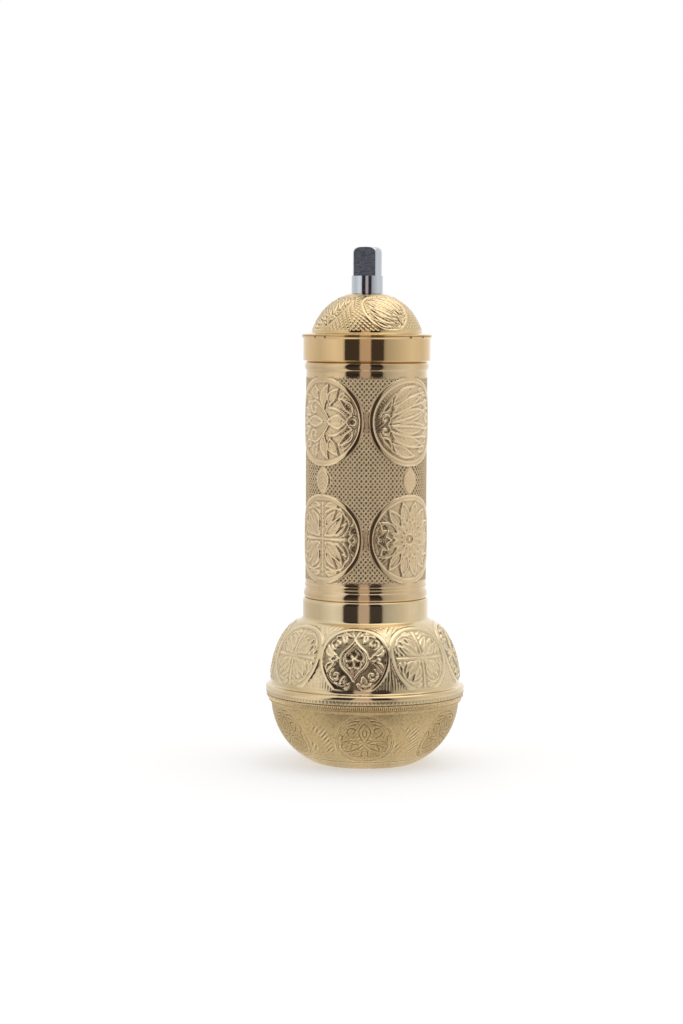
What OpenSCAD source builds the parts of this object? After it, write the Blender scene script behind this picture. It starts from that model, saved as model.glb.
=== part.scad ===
// Hand mill for Turkish coffee: a brass hopper tube on a ball-shaped catch cup.
// The mill stands on the flat under its cup. Z points up and the drive shaft lies on the Z axis.

/* [Catch cup] */
// How far the bowl's side lies in from the ball above it
cup_inset = 0.2; // [0.1:0.1:1]
// Diameter of the flat that the mill stands on
cup_base_d = 36; // [24:0.5:40]
// Radius of the bowl's round side, seen in section
cup_arc_r = 24.6; // [22:0.2:27]
// Height of the bowl's mouth over its base
cup_h = 24.2; // [22:0.2:32]
// Thickness of the bowl's sheet
cup_wall = 0.8; // [0.5:0.1:1.2]
// Height of the knurled band round the mouth
band_h = 3.3; // [2.4:0.1:5]
// How far the band's edge lies in from the rim above it
band_inset = 0.3; // [0.1:0.1:0.8]
// Height of the collar above the mouth
spigot_h = 6.8; // [4:0.2:9]
// Thickness of the collar's sheet
collar_wall = 0.7; // [0.4:0.1:1.2]

/* [Ball shell] */
// Outer diameter of the ball at its equator
ball_d = 66.2; // [60:0.2:76]
// Height of the equator over the cup's mouth
equator_rise = 4.3; // [4:0.1:6]
// How far the shoulder's curve runs in behind the neck
shoulder_lap = 3.95; // [3:0.05:6]
// How far the shoulder rises over the equator
shoulder_rise = 23.45; // [20:0.05:27]
// How far the rolled rim stands proud of the ball
rim_proud = 1.8; // [1.2:0.1:2]
// Height of the rolled rim
rim_h = 3.6; // [2.4:0.1:4]
// Height of the plain neck
neck_h = 6.8; // [5:0.1:12]
// Thickness of the shell's sheet
shell_wall = 0.8; // [0.5:0.1:1.2]

/* [Hopper tube] */
// Outer diameter of the tube
tube_d = 42.2; // [38:0.2:46]
// Thickness of the tube's sheet
tube_wall = 0.7; // [0.5:0.1:1]
// Height of the tube above the neck
tube_h = 91.2; // [84:0.2:130]
// How deep the tube stands in the neck
socket_depth = 7; // [5:0.5:9]
// Height of the wide bead above the neck
foot_bead_h = 3.2; // [2:0.1:5]
// Height of the narrow bead above the wide one
fine_bead_h = 1.4; // [0.8:0.1:2]
// Height of the bead below the lid
top_bead_h = 3; // [2:0.1:5]
// How far the beads stand proud of the tube
bead_proud = 0.45; // [0.2:0.05:0.7]

/* [Lid] */
// Height of the dome's sphere over the brim, up to its pole
dome_rise = 14.5; // [12:0.1:17]
// How far the dome's foot lies in from the tube's outside
dome_inset = 1.65; // [1.4:0.05:3]
// How far the brim stands out over the skirt
brim_proud = 0.6; // [0.3:0.1:2]
// Thickness of the brim
brim_t = 1.2; // [0.8:0.1:2]
// Height of the skirt below the brim
skirt_h = 8.5; // [6:0.1:12]
// Height of the lip where the skirt meets the brim
skirt_lip_h = 0.9; // [0.5:0.1:1.5]
// Thickness of the skirt's sheet
skirt_wall = 0.75; // [0.5:0.05:1.2]
// Thickness of the dome's sheet
dome_wall = 0.7; // [0.5:0.1:1]

/* [Drive shaft] */
// Diameter of the shaft inside the mill
shaft_d = 8; // [7:0.1:9]
// Diameter of the drive end
drive_end_d = 11; // [9.6:0.1:12]
// How far the shaft steps in above the foot of its flats
drive_step = 0.4; // [0.2:0.1:0.8]
// How far the drive end stands above the tube
drive_end_rise = 30.9; // [29:0.1:40]
// Length of the drive end below the tube's top edge
drive_end_drop = 8; // [5:0.5:12]
// Length of the two flats that the crank fits
flat_h = 10; // [6:0.5:12]
// Distance across the two flats
flat_across = 6.6; // [5:0.1:8]
// How far the flats are turned from the front, in degrees
flat_turn = 18; // [0:1:45]
// Radius that rounds the top edge
end_round = 2; // [0.5:0.1:2.5]

/* [Burrs] */
// Height of the grinding cone
burr_h = 21.5; // [18:0.5:26]
// Thickness of the cone round the shaft, at its top
cone_top_wall = 3.45; // [3.2:0.05:4.5]
// Grinding gap at the foot
foot_gap = 0.55; // [0.5:0.05:0.9]
// Feed gap at the top
feed_gap = 4.6; // [3:0.1:5.4]
// Thickness of the burr ring at its foot
ring_wall = 2.45; // [2:0.05:3]
// Number of coarse teeth on the cone
coarse_teeth = 9; // [6:1:12]
// Number of fine teeth on the cone and the ring
fine_teeth = 30; // [20:1:36]

/* [Burr carrier] */
// Thickness of the carrier's wall round the burr ring
carrier_wall = 2.8; // [2.4:0.1:3.4]
// Height of the ledge below the burr ring
ledge_h = 3.5; // [3:0.1:5]
// How far the ledge reaches in under the burr ring
ledge_lap = 1.3; // [0.8:0.1:1.6]
// Height of the funnel above the burr ring
funnel_h = 5; // [3:0.5:8]
// Gap between the tube's lower edge and the carrier
carrier_inset = 2.5; // [2:0.1:4]
// Thickness of the bridge's strip
bridge_t = 2.5; // [1.5:0.1:3]
// Width of the bridge's strip
bridge_w = 14; // [12:0.5:16]
// Depth of the bridge below the carrier
bridge_drop = 11.5; // [10.5:0.5:14]
// How far the bridge's legs stand in from the ledge
bridge_inset = 1.2; // [0.6:0.1:2]

/* [Adjuster] */
// Diameter of the adjusting screw
screw_d = 7.9; // [6.8:0.1:9]
// Diameter of the knurled knob
knob_d = 16; // [14:0.5:24]
// Height of the knob
knob_h = 5; // [4:0.5:7]
// Gap between the knob and the bridge
knob_gap = 4; // [2.5:0.1:5]
// Number of flutes round the knob
knob_flutes = 12; // [8:1:14]
// Diameter of the thrust ball
ball_bearing_d = 5; // [4:0.1:5.4]

/* [Upper bearing] */
// Distance of the spider below the tube's top edge
spider_drop = 18; // [14:0.5:26]
// Height of the spider's hub
hub_h = 6; // [5:0.5:10]
// Diameter of the spider's hub
hub_d = 16; // [15:0.5:20]
// Outer diameter of the bush in the hub
bush_d = 12; // [11:0.1:13.4]
// Width of each arm
arm_w = 5; // [4:0.5:7]
// Thickness of each arm
arm_t = 2.5; // [2:0.1:4]
// Thickness of the spider's outer ring
spider_ring = 1.5; // [1:0.1:3]
// Length of the return spring
spring_h = 20; // [16:0.5:26]
// Mean diameter of the return spring
spring_d = 11.2; // [10.4:0.1:13]
// Diameter of the spring's wire
spring_wire = 0.9; // [0.7:0.05:1.1]
// Number of turns of the spring
spring_turns = 7; // [5:1:8]

/* [Fits] */
// Gap between pieces that are pressed or screwed together
seat_clear = 0.05; // [0.02:0.01:0.1]
// Gap between a bearing and what turns in it
run_clear = 0.06; // [0.03:0.01:0.1]
// Gap between the skirt and the tube, and between the shaft and the dome
lid_clear = 0.35; // [0.2:0.05:0.6]
// Gap between the cup's collar and the ball shell
collar_clear = 0.35; // [0.2:0.05:0.6]

/* [Hidden] */

$fn = 96;
arc_steps = 24;
bead_steps = 8;
// Reach of a cutter past the face it leaves
over = 1;

// Finishes
embossed_brass = "#c9ab74";
polished_brass = "#d8b26c";
bowl_brass = "#c4a468";
bright_steel = "#b9c0c6";
dark_steel = "#5d6066";

// Radii, from the ball and from the tube inwards
ball_r = ball_d / 2;
rim_r = ball_r + rim_proud;
band_r = rim_r - band_inset;
cup_r = ball_r - cup_inset;
collar_r = ball_r - shell_wall - collar_clear;
tube_r = tube_d / 2;
tube_in_r = tube_r - tube_wall;
neck_in_r = tube_r + seat_clear;
neck_r = neck_in_r + shell_wall;
skirt_in_r = tube_r + lid_clear;
skirt_r = skirt_in_r + skirt_wall;
brim_r = skirt_r + brim_proud;
dome_foot_r = tube_r - dome_inset;
dome_r = (pow(dome_foot_r, 2) + pow(dome_rise, 2)) / (2 * dome_rise);
shaft_r = shaft_d / 2;
drive_end_r = drive_end_d / 2;
carrier_r = tube_in_r - seat_clear;
ring_r = carrier_r - carrier_wall - seat_clear;
ring_foot_r = ring_r - ring_wall;
cone_foot_r = ring_foot_r - foot_gap;
cone_top_r = shaft_r + seat_clear + cone_top_wall;
ring_top_r = cone_top_r + feed_gap;
ledge_r = ring_r - ledge_lap;
screw_r = screw_d / 2;
thrust_r = ball_bearing_d / 2;

// Heights over the base
cup_arc_x = cup_r - cup_arc_r;
cup_arc_z = sqrt(pow(cup_arc_r, 2) - pow(cup_base_d / 2 - cup_arc_x, 2));
z_band = cup_h - band_h;
z_equator = cup_h + equator_rise;
shoulder_x = neck_r - shoulder_lap;
shoulder_reach = ball_r - shoulder_x;
z_neck_foot = z_equator + shoulder_rise * sqrt(1 - pow(shoulder_lap / shoulder_reach, 2));
z_neck_top = z_neck_foot + neck_h;
z_tube_foot = z_neck_top - socket_depth;
z_tube_top = z_neck_top + tube_h;
z_skirt_foot = z_tube_top - skirt_h;
z_top_bead = z_skirt_foot - lid_clear - top_bead_h;
z_shaft_top = z_tube_top + drive_end_rise;
z_carrier = z_tube_foot + carrier_inset;
z_ring = z_carrier + ledge_h;
z_ring_top = z_ring + burr_h;
z_bridge = z_carrier - bridge_drop;
z_spider = z_tube_top - spider_drop;

// The stack under the cone: washer, nut, shaft end, thrust ball, adjusting screw
washer_t = 1;
nut_across = 13;
nut_h = 4;
z_cone = z_ring + seat_clear;
z_nut = z_cone - washer_t - nut_h;
z_shaft_foot = z_nut - 1.2;
ball_sink = thrust_r * 0.8;
z_thrust = z_shaft_foot + ball_sink - thrust_r;
z_screw_top = z_thrust - thrust_r + ball_sink;
z_knob = z_bridge - knob_gap - knob_h;
knob_bore_r = screw_r - 1;

// The cone's slope, and the drive pin through the shaft
cone_slope = atan((cone_foot_r - cone_top_r) / burr_h);
ring_slope = atan((ring_foot_r - ring_top_r) / burr_h);
pin_d = 3;
pin_l = 2 * cone_top_r - 1.5;
z_pin = z_cone + burr_h - pin_d / 2;

// The spring's seat
z_spring_top = z_spider - lid_clear;
z_spring_washer = z_spring_top - spring_h - washer_t;
clip_groove = 0.5;
z_clip = z_spring_washer - washer_t;
clip_r = shaft_r + 2.4;
spring_washer_r = (spring_d + spring_wire) / 2 + 0.4;

// Small screws
grub_r = 1.5;
bolt_r = 1.25;
bolt_head_r = 2.1;
bolt_head_h = 1.8;
bridge_foot_in = ledge_r - bridge_inset;
bridge_leg_in = bridge_foot_in - bridge_t;
bridge_screw_y = ledge_r + bolt_r + 0.5;

// Points along an arc, in the plane of a turned profile
function arc(x, z, r, from, to) =
    [for (i = [0 : arc_steps]) let (a = from + (to - from) * i / arc_steps) [x + r * cos(a), z + r * sin(a)]];

// A rolled bead on a wall of radius r, from z up over height h, as half a sine wave
function bead(r, z, h, proud) =
    [for (i = [0 : bead_steps]) [r + proud * sin(180 * i / bead_steps), z + h * i / bead_steps]];

// The shoulder from the equator up into the neck: an ellipse that blends into the neck's wall
shoulder_blend = 6;
function shoulder(neck, reach, rise) =
    [for (i = [0 : arc_steps]) let (a = 90 * i / arc_steps)
        [shoulder_x + pow(pow(neck - shoulder_x, shoulder_blend)
            + pow(reach * cos(a), shoulder_blend), 1 / shoulder_blend), z_equator + rise * sin(a)]];

function backwards(points) = [for (i = [len(points) - 1 : -1 : 0]) points[i]];

module turned(points) {
    rotate_extrude() polygon(points);
}

module ring(inner, outer, z, h) {
    translate([0, 0, z]) difference() {
        cylinder(r = outer, h = h);
        translate([0, 0, -over]) cylinder(r = inner, h = h + 2 * over);
    }
}

// Catch cup and its collar

module catch_cup() {
    inner_arc_r = cup_arc_r - cup_wall;
    outer_end = asin(min(0, (z_band - cup_arc_z) / cup_arc_r));
    inner_end = asin(min(0, (z_band - cup_arc_z) / inner_arc_r));
    edge = 0.4;
    color(bowl_brass) turned(concat(
        [[0, 0]],
        arc(cup_arc_x, cup_arc_z, cup_arc_r, -asin(cup_arc_z / cup_arc_r), outer_end),
        [[cup_arc_x + cup_arc_r * cos(outer_end), z_band]],
        [[band_r, cup_h - edge], [band_r - edge, cup_h], [collar_r + seat_clear, cup_h]],
        [[collar_r + seat_clear, z_band], [cup_arc_x + inner_arc_r * cos(inner_end), z_band]],
        backwards(arc(cup_arc_x, cup_arc_z, inner_arc_r,
            -asin((cup_arc_z - cup_wall) / inner_arc_r), inner_end)),
        [[0, cup_wall]]
    ));
}

module cup_collar() {
    lead = min(0.5, collar_wall / 2);
    color(bowl_brass) turned([
        [collar_r - collar_wall, z_band], [collar_r, z_band],
        [collar_r, cup_h + spigot_h - lead], [collar_r - lead, cup_h + spigot_h],
        [collar_r - collar_wall, cup_h + spigot_h]
    ]);
}

// Ball shell: neck, shoulder and rolled rim in one sheet

module ball_shell() {
    rim_round = rim_h / 2;
    inner_r = ball_r - shell_wall;
    color(embossed_brass) turned(concat(
        [[neck_in_r, z_neck_top], [neck_r, z_neck_top]],
        backwards(shoulder(neck_r, shoulder_reach, shoulder_rise)),
        arc(rim_r - rim_round, cup_h + rim_round, rim_round, acos(1 - rim_proud / rim_round), -90),
        [[inner_r, cup_h]],
        shoulder(neck_in_r, shoulder_reach - shell_wall, shoulder_rise - shell_wall)
    ));
}

// Hopper tube, with its rolled beads

module hopper_tube() {
    color(embossed_brass) turned(concat(
        [[tube_in_r, z_tube_foot], [tube_r, z_tube_foot]],
        bead(tube_r, z_neck_top, foot_bead_h, bead_proud),
        bead(tube_r, z_neck_top + foot_bead_h + fine_bead_h / 2, fine_bead_h, bead_proud / 2),
        bead(tube_r, z_top_bead, top_bead_h, bead_proud),
        [[tube_r, z_tube_top], [tube_in_r, z_tube_top]]
    ));
}

// Lid: a dome with a brim, and the skirt below it

module lid_dome() {
    hole_r = drive_end_r + lid_clear / 2;
    dome_z = z_tube_top + brim_t + dome_rise - dome_r;
    inner_r = dome_r - dome_wall;
    edge = 0.3;
    color(polished_brass) turned(concat(
        [[brim_r - edge, z_tube_top], [brim_r, z_tube_top + edge], [brim_r, z_tube_top + brim_t / 2]],
        arc(0, dome_z, dome_r, acos(dome_foot_r / dome_r), acos(hole_r / dome_r)),
        backwards(arc(0, dome_z, inner_r, asin((z_tube_top - dome_z) / inner_r), acos(hole_r / inner_r)))
    ));
}

module lid_skirt() {
    foot = 0.25;
    color(polished_brass) turned([
        [skirt_in_r, z_skirt_foot + foot], [skirt_in_r + foot, z_skirt_foot],
        [skirt_r - foot, z_skirt_foot], [skirt_r, z_skirt_foot + foot],
        [skirt_r, z_tube_top - skirt_lip_h], [brim_r, z_tube_top - skirt_lip_h / 3],
        [brim_r, z_tube_top], [skirt_in_r, z_tube_top]
    ]);
}

// Upper bearing: a spider pressed into the tube, and its bush

module upper_spider() {
    ring_in = carrier_r - spider_ring;
    color(dark_steel) difference() {
        union() {
            ring(ring_in, carrier_r, z_spider, arm_t + spider_ring);
            translate([0, 0, z_spider]) cylinder(d = hub_d, h = hub_h);
            for (a = [60, 180, 300])
                rotate(a) translate([0, -arm_w / 2, z_spider])
                    cube([ring_in + spider_ring / 2, arm_w, arm_t]);
        }
        translate([0, 0, z_spider - over]) cylinder(d = bush_d, h = hub_h + 2 * over);
    }
}

module spider_bush() {
    color(polished_brass)
        ring(shaft_r + run_clear, bush_d / 2 - seat_clear, z_spider, hub_h + over);
}

// Return spring: one round wire along a helix

spring_sides = 6;
rings_per_turn = 8;
spring_rings = spring_turns * rings_per_turn;
spring_pitch = (spring_h - spring_wire) / spring_turns;

function spring_point(ring_no, side) =
    let (turn = 360 * ring_no / rings_per_turn,
         a = 360 * side / spring_sides,
         r = (spring_d + spring_wire * cos(a)) / 2)
    [r * cos(turn), r * sin(turn),
     z_spring_top - spring_h + spring_wire / 2 + spring_pitch * ring_no / rings_per_turn
         + spring_wire / 2 * sin(a)];

spring_gaps = [for (n = [0 : spring_rings - rings_per_turn], side = [0 : spring_sides - 1])
    norm(spring_point(n + rings_per_turn, side) - spring_point(n, side)) - spring_wire];
echo(least_gap_between_spring_turns = min(spring_gaps));

module return_spring() {
    points = [for (n = [0 : spring_rings], s = [0 : spring_sides - 1]) spring_point(n, s)];
    last = spring_rings * spring_sides;
    color(bright_steel) polyhedron(points, concat(
        [for (s = [1 : spring_sides - 2]) [0, s, s + 1]],
        [for (s = [1 : spring_sides - 2]) [last, last + s + 1, last + s]],
        [for (n = [0 : spring_rings - 1], s = [0 : spring_sides - 1])
            let (a = n * spring_sides + s, b = n * spring_sides + (s + 1) % spring_sides)
            [a, a + spring_sides, b]],
        [for (n = [0 : spring_rings - 1], s = [0 : spring_sides - 1])
            let (a = n * spring_sides + s, b = n * spring_sides + (s + 1) % spring_sides)
            [b, a + spring_sides, b + spring_sides]]
    ));
}

// Burr carrier: a sleeve inside the tube's foot, with a ledge for the burr ring and a funnel

module burr_carrier() {
    seat_r = ring_r + seat_clear;
    color(dark_steel) difference() {
        turned([
            [ledge_r, z_carrier], [carrier_r, z_carrier], [carrier_r, z_ring_top + funnel_h],
            [carrier_r - 0.5, z_ring_top + funnel_h], [seat_r, z_ring_top], [seat_r, z_ring],
            [ledge_r, z_ring]
        ]);
        for (side = [-1, 1])
            translate([0, side * bridge_screw_y, z_carrier - over])
                cylinder(r = bolt_r + seat_clear, h = ledge_h + over - 0.5, $fn = 32);
        at_ring_screws() cylinder(r = grub_r + seat_clear, h = carrier_r, $fn = 32);
    }
}

// Three grub screws press on the burr ring through the carrier's wall

module at_ring_screws() {
    for (a = [30, 150, 270])
        rotate(a) translate([ring_r - over, 0, z_ring + burr_h / 2]) rotate([0, 90, 0]) children();
}

module ring_screws() {
    color(bright_steel) intersection() {
        at_ring_screws() cylinder(r = grub_r, h = carrier_r, $fn = 32);
        ring(ring_r + seat_clear, carrier_r - seat_clear, z_ring, burr_h);
    }
}

// Slanted grooves round a cone: three-sided cutters laid along its slope, with their edges turned in or out

module grooves(count, r, z, slope, skew, size, length, edge) {
    for (i = [0 : count - 1])
        rotate(360 * i / count) translate([r, 0, z]) rotate([0, -slope, 0]) rotate([skew, 0, 0])
            rotate(edge) cylinder(r = size, h = length, center = true, $fn = 3);
}

coarse_size = 2.6;
feed_size = 1.8;
coarse_skew = 24;
fine_size = 0.75;
fine_skew = 14;
fine_band = 7;

module burr_ring() {
    color(dark_steel) difference() {
        turned([[ring_foot_r, z_ring], [ring_r, z_ring], [ring_r, z_ring_top], [ring_top_r, z_ring_top]]);
        grooves(fine_teeth, ring_foot_r - fine_band / 2 * tan(ring_slope), z_ring + fine_band / 2,
            ring_slope, -fine_skew, fine_size, fine_band * 1.6, 0);
        grooves(coarse_teeth, ring_top_r, z_ring_top, ring_slope, -coarse_skew, feed_size, burr_h * 1.3, 0);
    }
}

// Grinding cone: coarse teeth that break the beans, fine ones that mill them, and a slot for the drive pin

module grinding_cone() {
    slot_w = pin_d + 2 * seat_clear;
    color(dark_steel) difference() {
        turned([[0, z_cone], [cone_foot_r, z_cone], [cone_top_r, z_cone + burr_h], [0, z_cone + burr_h]]);
        translate([0, 0, z_cone - over]) cylinder(r = shaft_r + seat_clear, h = burr_h + 2 * over);
        grooves(coarse_teeth, cone_top_r + tan(cone_slope) * burr_h * 0.25, z_cone + burr_h * 0.75,
            cone_slope, coarse_skew, coarse_size, burr_h * 0.9, 180);
        grooves(fine_teeth, cone_foot_r - fine_band / 2 * tan(cone_slope), z_cone + fine_band / 2,
            cone_slope, fine_skew, fine_size, fine_band * 1.6, 180);
        translate([-cone_foot_r, -slot_w / 2, z_pin - slot_w / 2])
            cube([2 * cone_foot_r, slot_w, slot_w + over]);
    }
}

module drive_pin() {
    color(bright_steel) translate([-pin_l / 2, 0, z_pin]) rotate([0, 90, 0]) cylinder(d = pin_d, h = pin_l);
}

module cone_washer() {
    color(bright_steel)
        ring(shaft_r + seat_clear, nut_across / 2 + over, z_cone - washer_t, washer_t);
}

module cone_nut() {
    color(bright_steel) translate([0, 0, z_nut]) difference() {
        cylinder(d = nut_across / cos(30), h = nut_h, $fn = 6);
        translate([0, 0, -over]) cylinder(r = shaft_r + seat_clear, h = nut_h + 2 * over);
    }
}

// Drive shaft: the stem inside the mill, and the thicker end with two flats for the crank

module drive_shaft() {
    z_step = z_tube_top - drive_end_drop;
    tip_r = drive_end_r - drive_step;
    color(bright_steel) difference() {
        turned(concat(
            [[0, z_shaft_foot], [shaft_r, z_shaft_foot], [shaft_r, z_step - 1], [drive_end_r, z_step]],
            [[drive_end_r, z_shaft_top - flat_h], [tip_r, z_shaft_top - flat_h]],
            arc(tip_r - end_round, z_shaft_top - end_round, end_round, 0, 90),
            [[0, z_shaft_top]]
        ));
        for (side = [0, 180])
            rotate(side - flat_turn)
                translate([-drive_end_d, -flat_across / 2 - drive_end_d, z_shaft_top - flat_h])
                    cube([2 * drive_end_d, drive_end_d, flat_h + over]);
        translate([0, 0, z_shaft_foot - over])
            cylinder(r = thrust_r + run_clear, h = ball_sink + run_clear + over);
        translate([0, 0, z_pin]) rotate([0, 90, 0])
            cylinder(r = pin_d / 2 + seat_clear, h = 2 * shaft_d, center = true);
        ring(shaft_r - clip_groove, shaft_r + over, z_clip, washer_t);
    }
}

module spring_washer() {
    color(bright_steel) ring(shaft_r + seat_clear, spring_washer_r, z_spring_washer, washer_t);
}

module spring_clip() {
    mouth = shaft_d * 0.8;
    color(bright_steel) difference() {
        ring(shaft_r - clip_groove + seat_clear, clip_r, z_clip + seat_clear, washer_t - 2 * seat_clear);
        translate([0, -mouth / 2, z_clip - over]) cube([clip_r + over, mouth, washer_t + 2 * over]);
    }
}

// Lower bridge: a bent strip under the carrier that holds the adjusting screw

module lower_bridge() {
    hole_r = screw_r + run_clear;
    foot_end = carrier_r + over;
    half = [
        [bridge_foot_in, z_bridge], [bridge_foot_in, z_carrier - bridge_t],
        [foot_end, z_carrier - bridge_t], [foot_end, z_carrier], [bridge_leg_in, z_carrier],
        [bridge_leg_in, z_bridge + bridge_t]
    ];
    color(bright_steel) difference() {
        intersection() {
            rotate([90, 0, 90]) linear_extrude(bridge_w, center = true)
                polygon(concat(half, backwards([for (p = half) [-p[0], p[1]]])));
            translate([0, 0, z_bridge - over])
                cylinder(r = carrier_r - seat_clear, h = bridge_drop + 2 * over);
        }
        translate([0, 0, z_bridge - over]) cylinder(r = hole_r, h = bridge_t + 2 * over);
        for (side = [-1, 1])
            translate([0, side * bridge_screw_y, z_carrier - bridge_t - over])
                cylinder(r = bolt_r + seat_clear, h = bridge_t + 2 * over, $fn = 32);
    }
}

module bridge_screws() {
    slot = 0.8;
    color(bright_steel) for (side = [-1, 1])
        translate([0, side * bridge_screw_y, z_carrier - bridge_t]) {
            cylinder(r = bolt_r, h = bridge_t + ledge_h - 2 * slot, $fn = 32);
            difference() {
                translate([0, 0, -bolt_head_h]) cylinder(r = bolt_head_r, h = bolt_head_h, $fn = 32);
                translate([-bolt_head_r - over, -slot / 2, -bolt_head_h - over])
                    cube([2 * (bolt_head_r + over), slot, slot + over]);
            }
        }
}

// Adjuster: the thrust ball that carries the shaft, the screw below it, and its knob

module thrust_ball() {
    color(bright_steel) translate([0, 0, z_thrust]) sphere(r = thrust_r);
}

module adjusting_screw() {
    color(bright_steel) difference() {
        union() {
            translate([0, 0, z_knob + knob_h]) cylinder(r = screw_r, h = z_screw_top - z_knob - knob_h);
            translate([0, 0, z_knob]) cylinder(r = knob_bore_r, h = knob_h);
        }
        translate([0, 0, z_screw_top - ball_sink - run_clear])
            cylinder(r = thrust_r + run_clear, h = ball_sink + run_clear + over);
    }
}

module adjusting_knob() {
    flute_r = 1.2;
    color(polished_brass) difference() {
        translate([0, 0, z_knob]) cylinder(d = knob_d, h = knob_h);
        translate([0, 0, z_knob - over]) cylinder(r = knob_bore_r + seat_clear, h = knob_h + 2 * over);
        for (i = [0 : knob_flutes - 1])
            rotate(360 * i / knob_flutes) translate([knob_d / 2 + flute_r / 2, 0, z_knob - over])
                cylinder(r = flute_r, h = knob_h + 2 * over, $fn = 24);
    }
}

catch_cup();
cup_collar();
ball_shell();
hopper_tube();
upper_spider();
spider_bush();
burr_carrier();
burr_ring();
ring_screws();
lower_bridge();
bridge_screws();
return_spring();
lid_dome();
lid_skirt();
thrust_ball();
adjusting_screw();
adjusting_knob();
drive_shaft();
grinding_cone();
drive_pin();
cone_washer();
cone_nut();
spring_washer();
spring_clip();
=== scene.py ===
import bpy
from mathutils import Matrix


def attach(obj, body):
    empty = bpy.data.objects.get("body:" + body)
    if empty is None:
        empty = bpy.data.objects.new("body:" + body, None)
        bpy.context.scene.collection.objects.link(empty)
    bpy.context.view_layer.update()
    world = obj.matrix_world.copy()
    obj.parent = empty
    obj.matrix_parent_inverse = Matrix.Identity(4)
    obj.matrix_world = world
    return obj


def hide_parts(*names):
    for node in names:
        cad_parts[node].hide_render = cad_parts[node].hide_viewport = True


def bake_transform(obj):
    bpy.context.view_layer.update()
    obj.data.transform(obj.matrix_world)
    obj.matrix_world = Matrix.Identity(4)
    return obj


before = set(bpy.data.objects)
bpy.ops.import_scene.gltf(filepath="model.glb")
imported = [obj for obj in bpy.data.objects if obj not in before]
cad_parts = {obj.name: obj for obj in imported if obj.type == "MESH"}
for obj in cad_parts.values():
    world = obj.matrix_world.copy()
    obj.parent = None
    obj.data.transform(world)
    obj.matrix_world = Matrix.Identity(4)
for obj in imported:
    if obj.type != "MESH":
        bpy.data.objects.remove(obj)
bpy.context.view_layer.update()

import bpy
import numpy as np
from mathutils import Euler, Matrix


# Bowl of the catch cup: brass sheet spun over a former. Six roundels of flowers and scrolls, with slanted
# hatching between them, are engraved in its outside, which is left satin. Sizes here are in millimetres.

bowl_base_r, bowl_wall, bowl_top = 18.0, 0.8, 20.9
bowl_centre, bowl_arc_r, bowl_step = (8.3, 22.607), 24.6, 0.3
bowl_turns, bowl_roundels = 600, 6
bowl_roundel_r, bowl_roundel_up = 10.0, 16.8
# The second number here sets how dark the painted shade is in the middle of each roundel.
bowl_cut, bowl_painted_shade, bowl_ring_up, bowl_ring_half = 0.18, 0.48, 6.2, 0.28
# The second straw is the pale of ridges: partly wear and partly a painted highlight.
matt_straw, worn_and_highlight_straw = (1.0, 0.8, 0.51), (1.0, 0.84, 0.57)


def eased(x, low, high):
    """0 below low and 1 above high, and the cubic 3t^2 - 2t^3 of the share of the way between."""
    t = np.clip((x - low) / (high - low), 0, 1)
    return t * t * (3 - 2 * t)


def ridge(x, half):
    """A round-backed ridge where x is nought: one less the square of x in shares of its half width."""
    return np.clip(1 - (x / half) ** 2, 0, 1)


def arc(centre, radius, start, end, count):
    """Points of a circle in the r, z plane, by even steps of the angle from start to end, in degrees."""
    a = np.radians(np.linspace(start, end, count))
    return np.stack([centre[0] + radius * np.cos(a), centre[1] + radius * np.sin(a)], 1)


def lean(rise, radius):
    """The angle at which a circle reaches a rise over its centre, by the arc sine of their share, in degrees."""
    return np.degrees(np.arcsin(rise / radius))


def even(points, step):
    """Points along a polyline at equal distances of about step, found from its running length."""
    points = np.asarray(points, float)
    run = np.concatenate([[0], np.cumsum(np.hypot(*np.diff(points, axis=0).T))])
    marks = np.linspace(0, run[-1], max(2, int(round(run[-1] / step)) + 1))
    return np.stack([np.interp(marks, run, column) for column in points.T], 1)


def meshed(name, points, faces):
    """A new smooth piece at the origin, from points in millimetres and the faces between them."""
    mesh = bpy.data.meshes.new(name)
    mesh.from_pydata(points * 0.001, [], faces)
    mesh.shade_smooth()
    piece = bpy.data.objects.new(name, mesh)
    bpy.context.scene.collection.objects.link(piece)
    return piece


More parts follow.
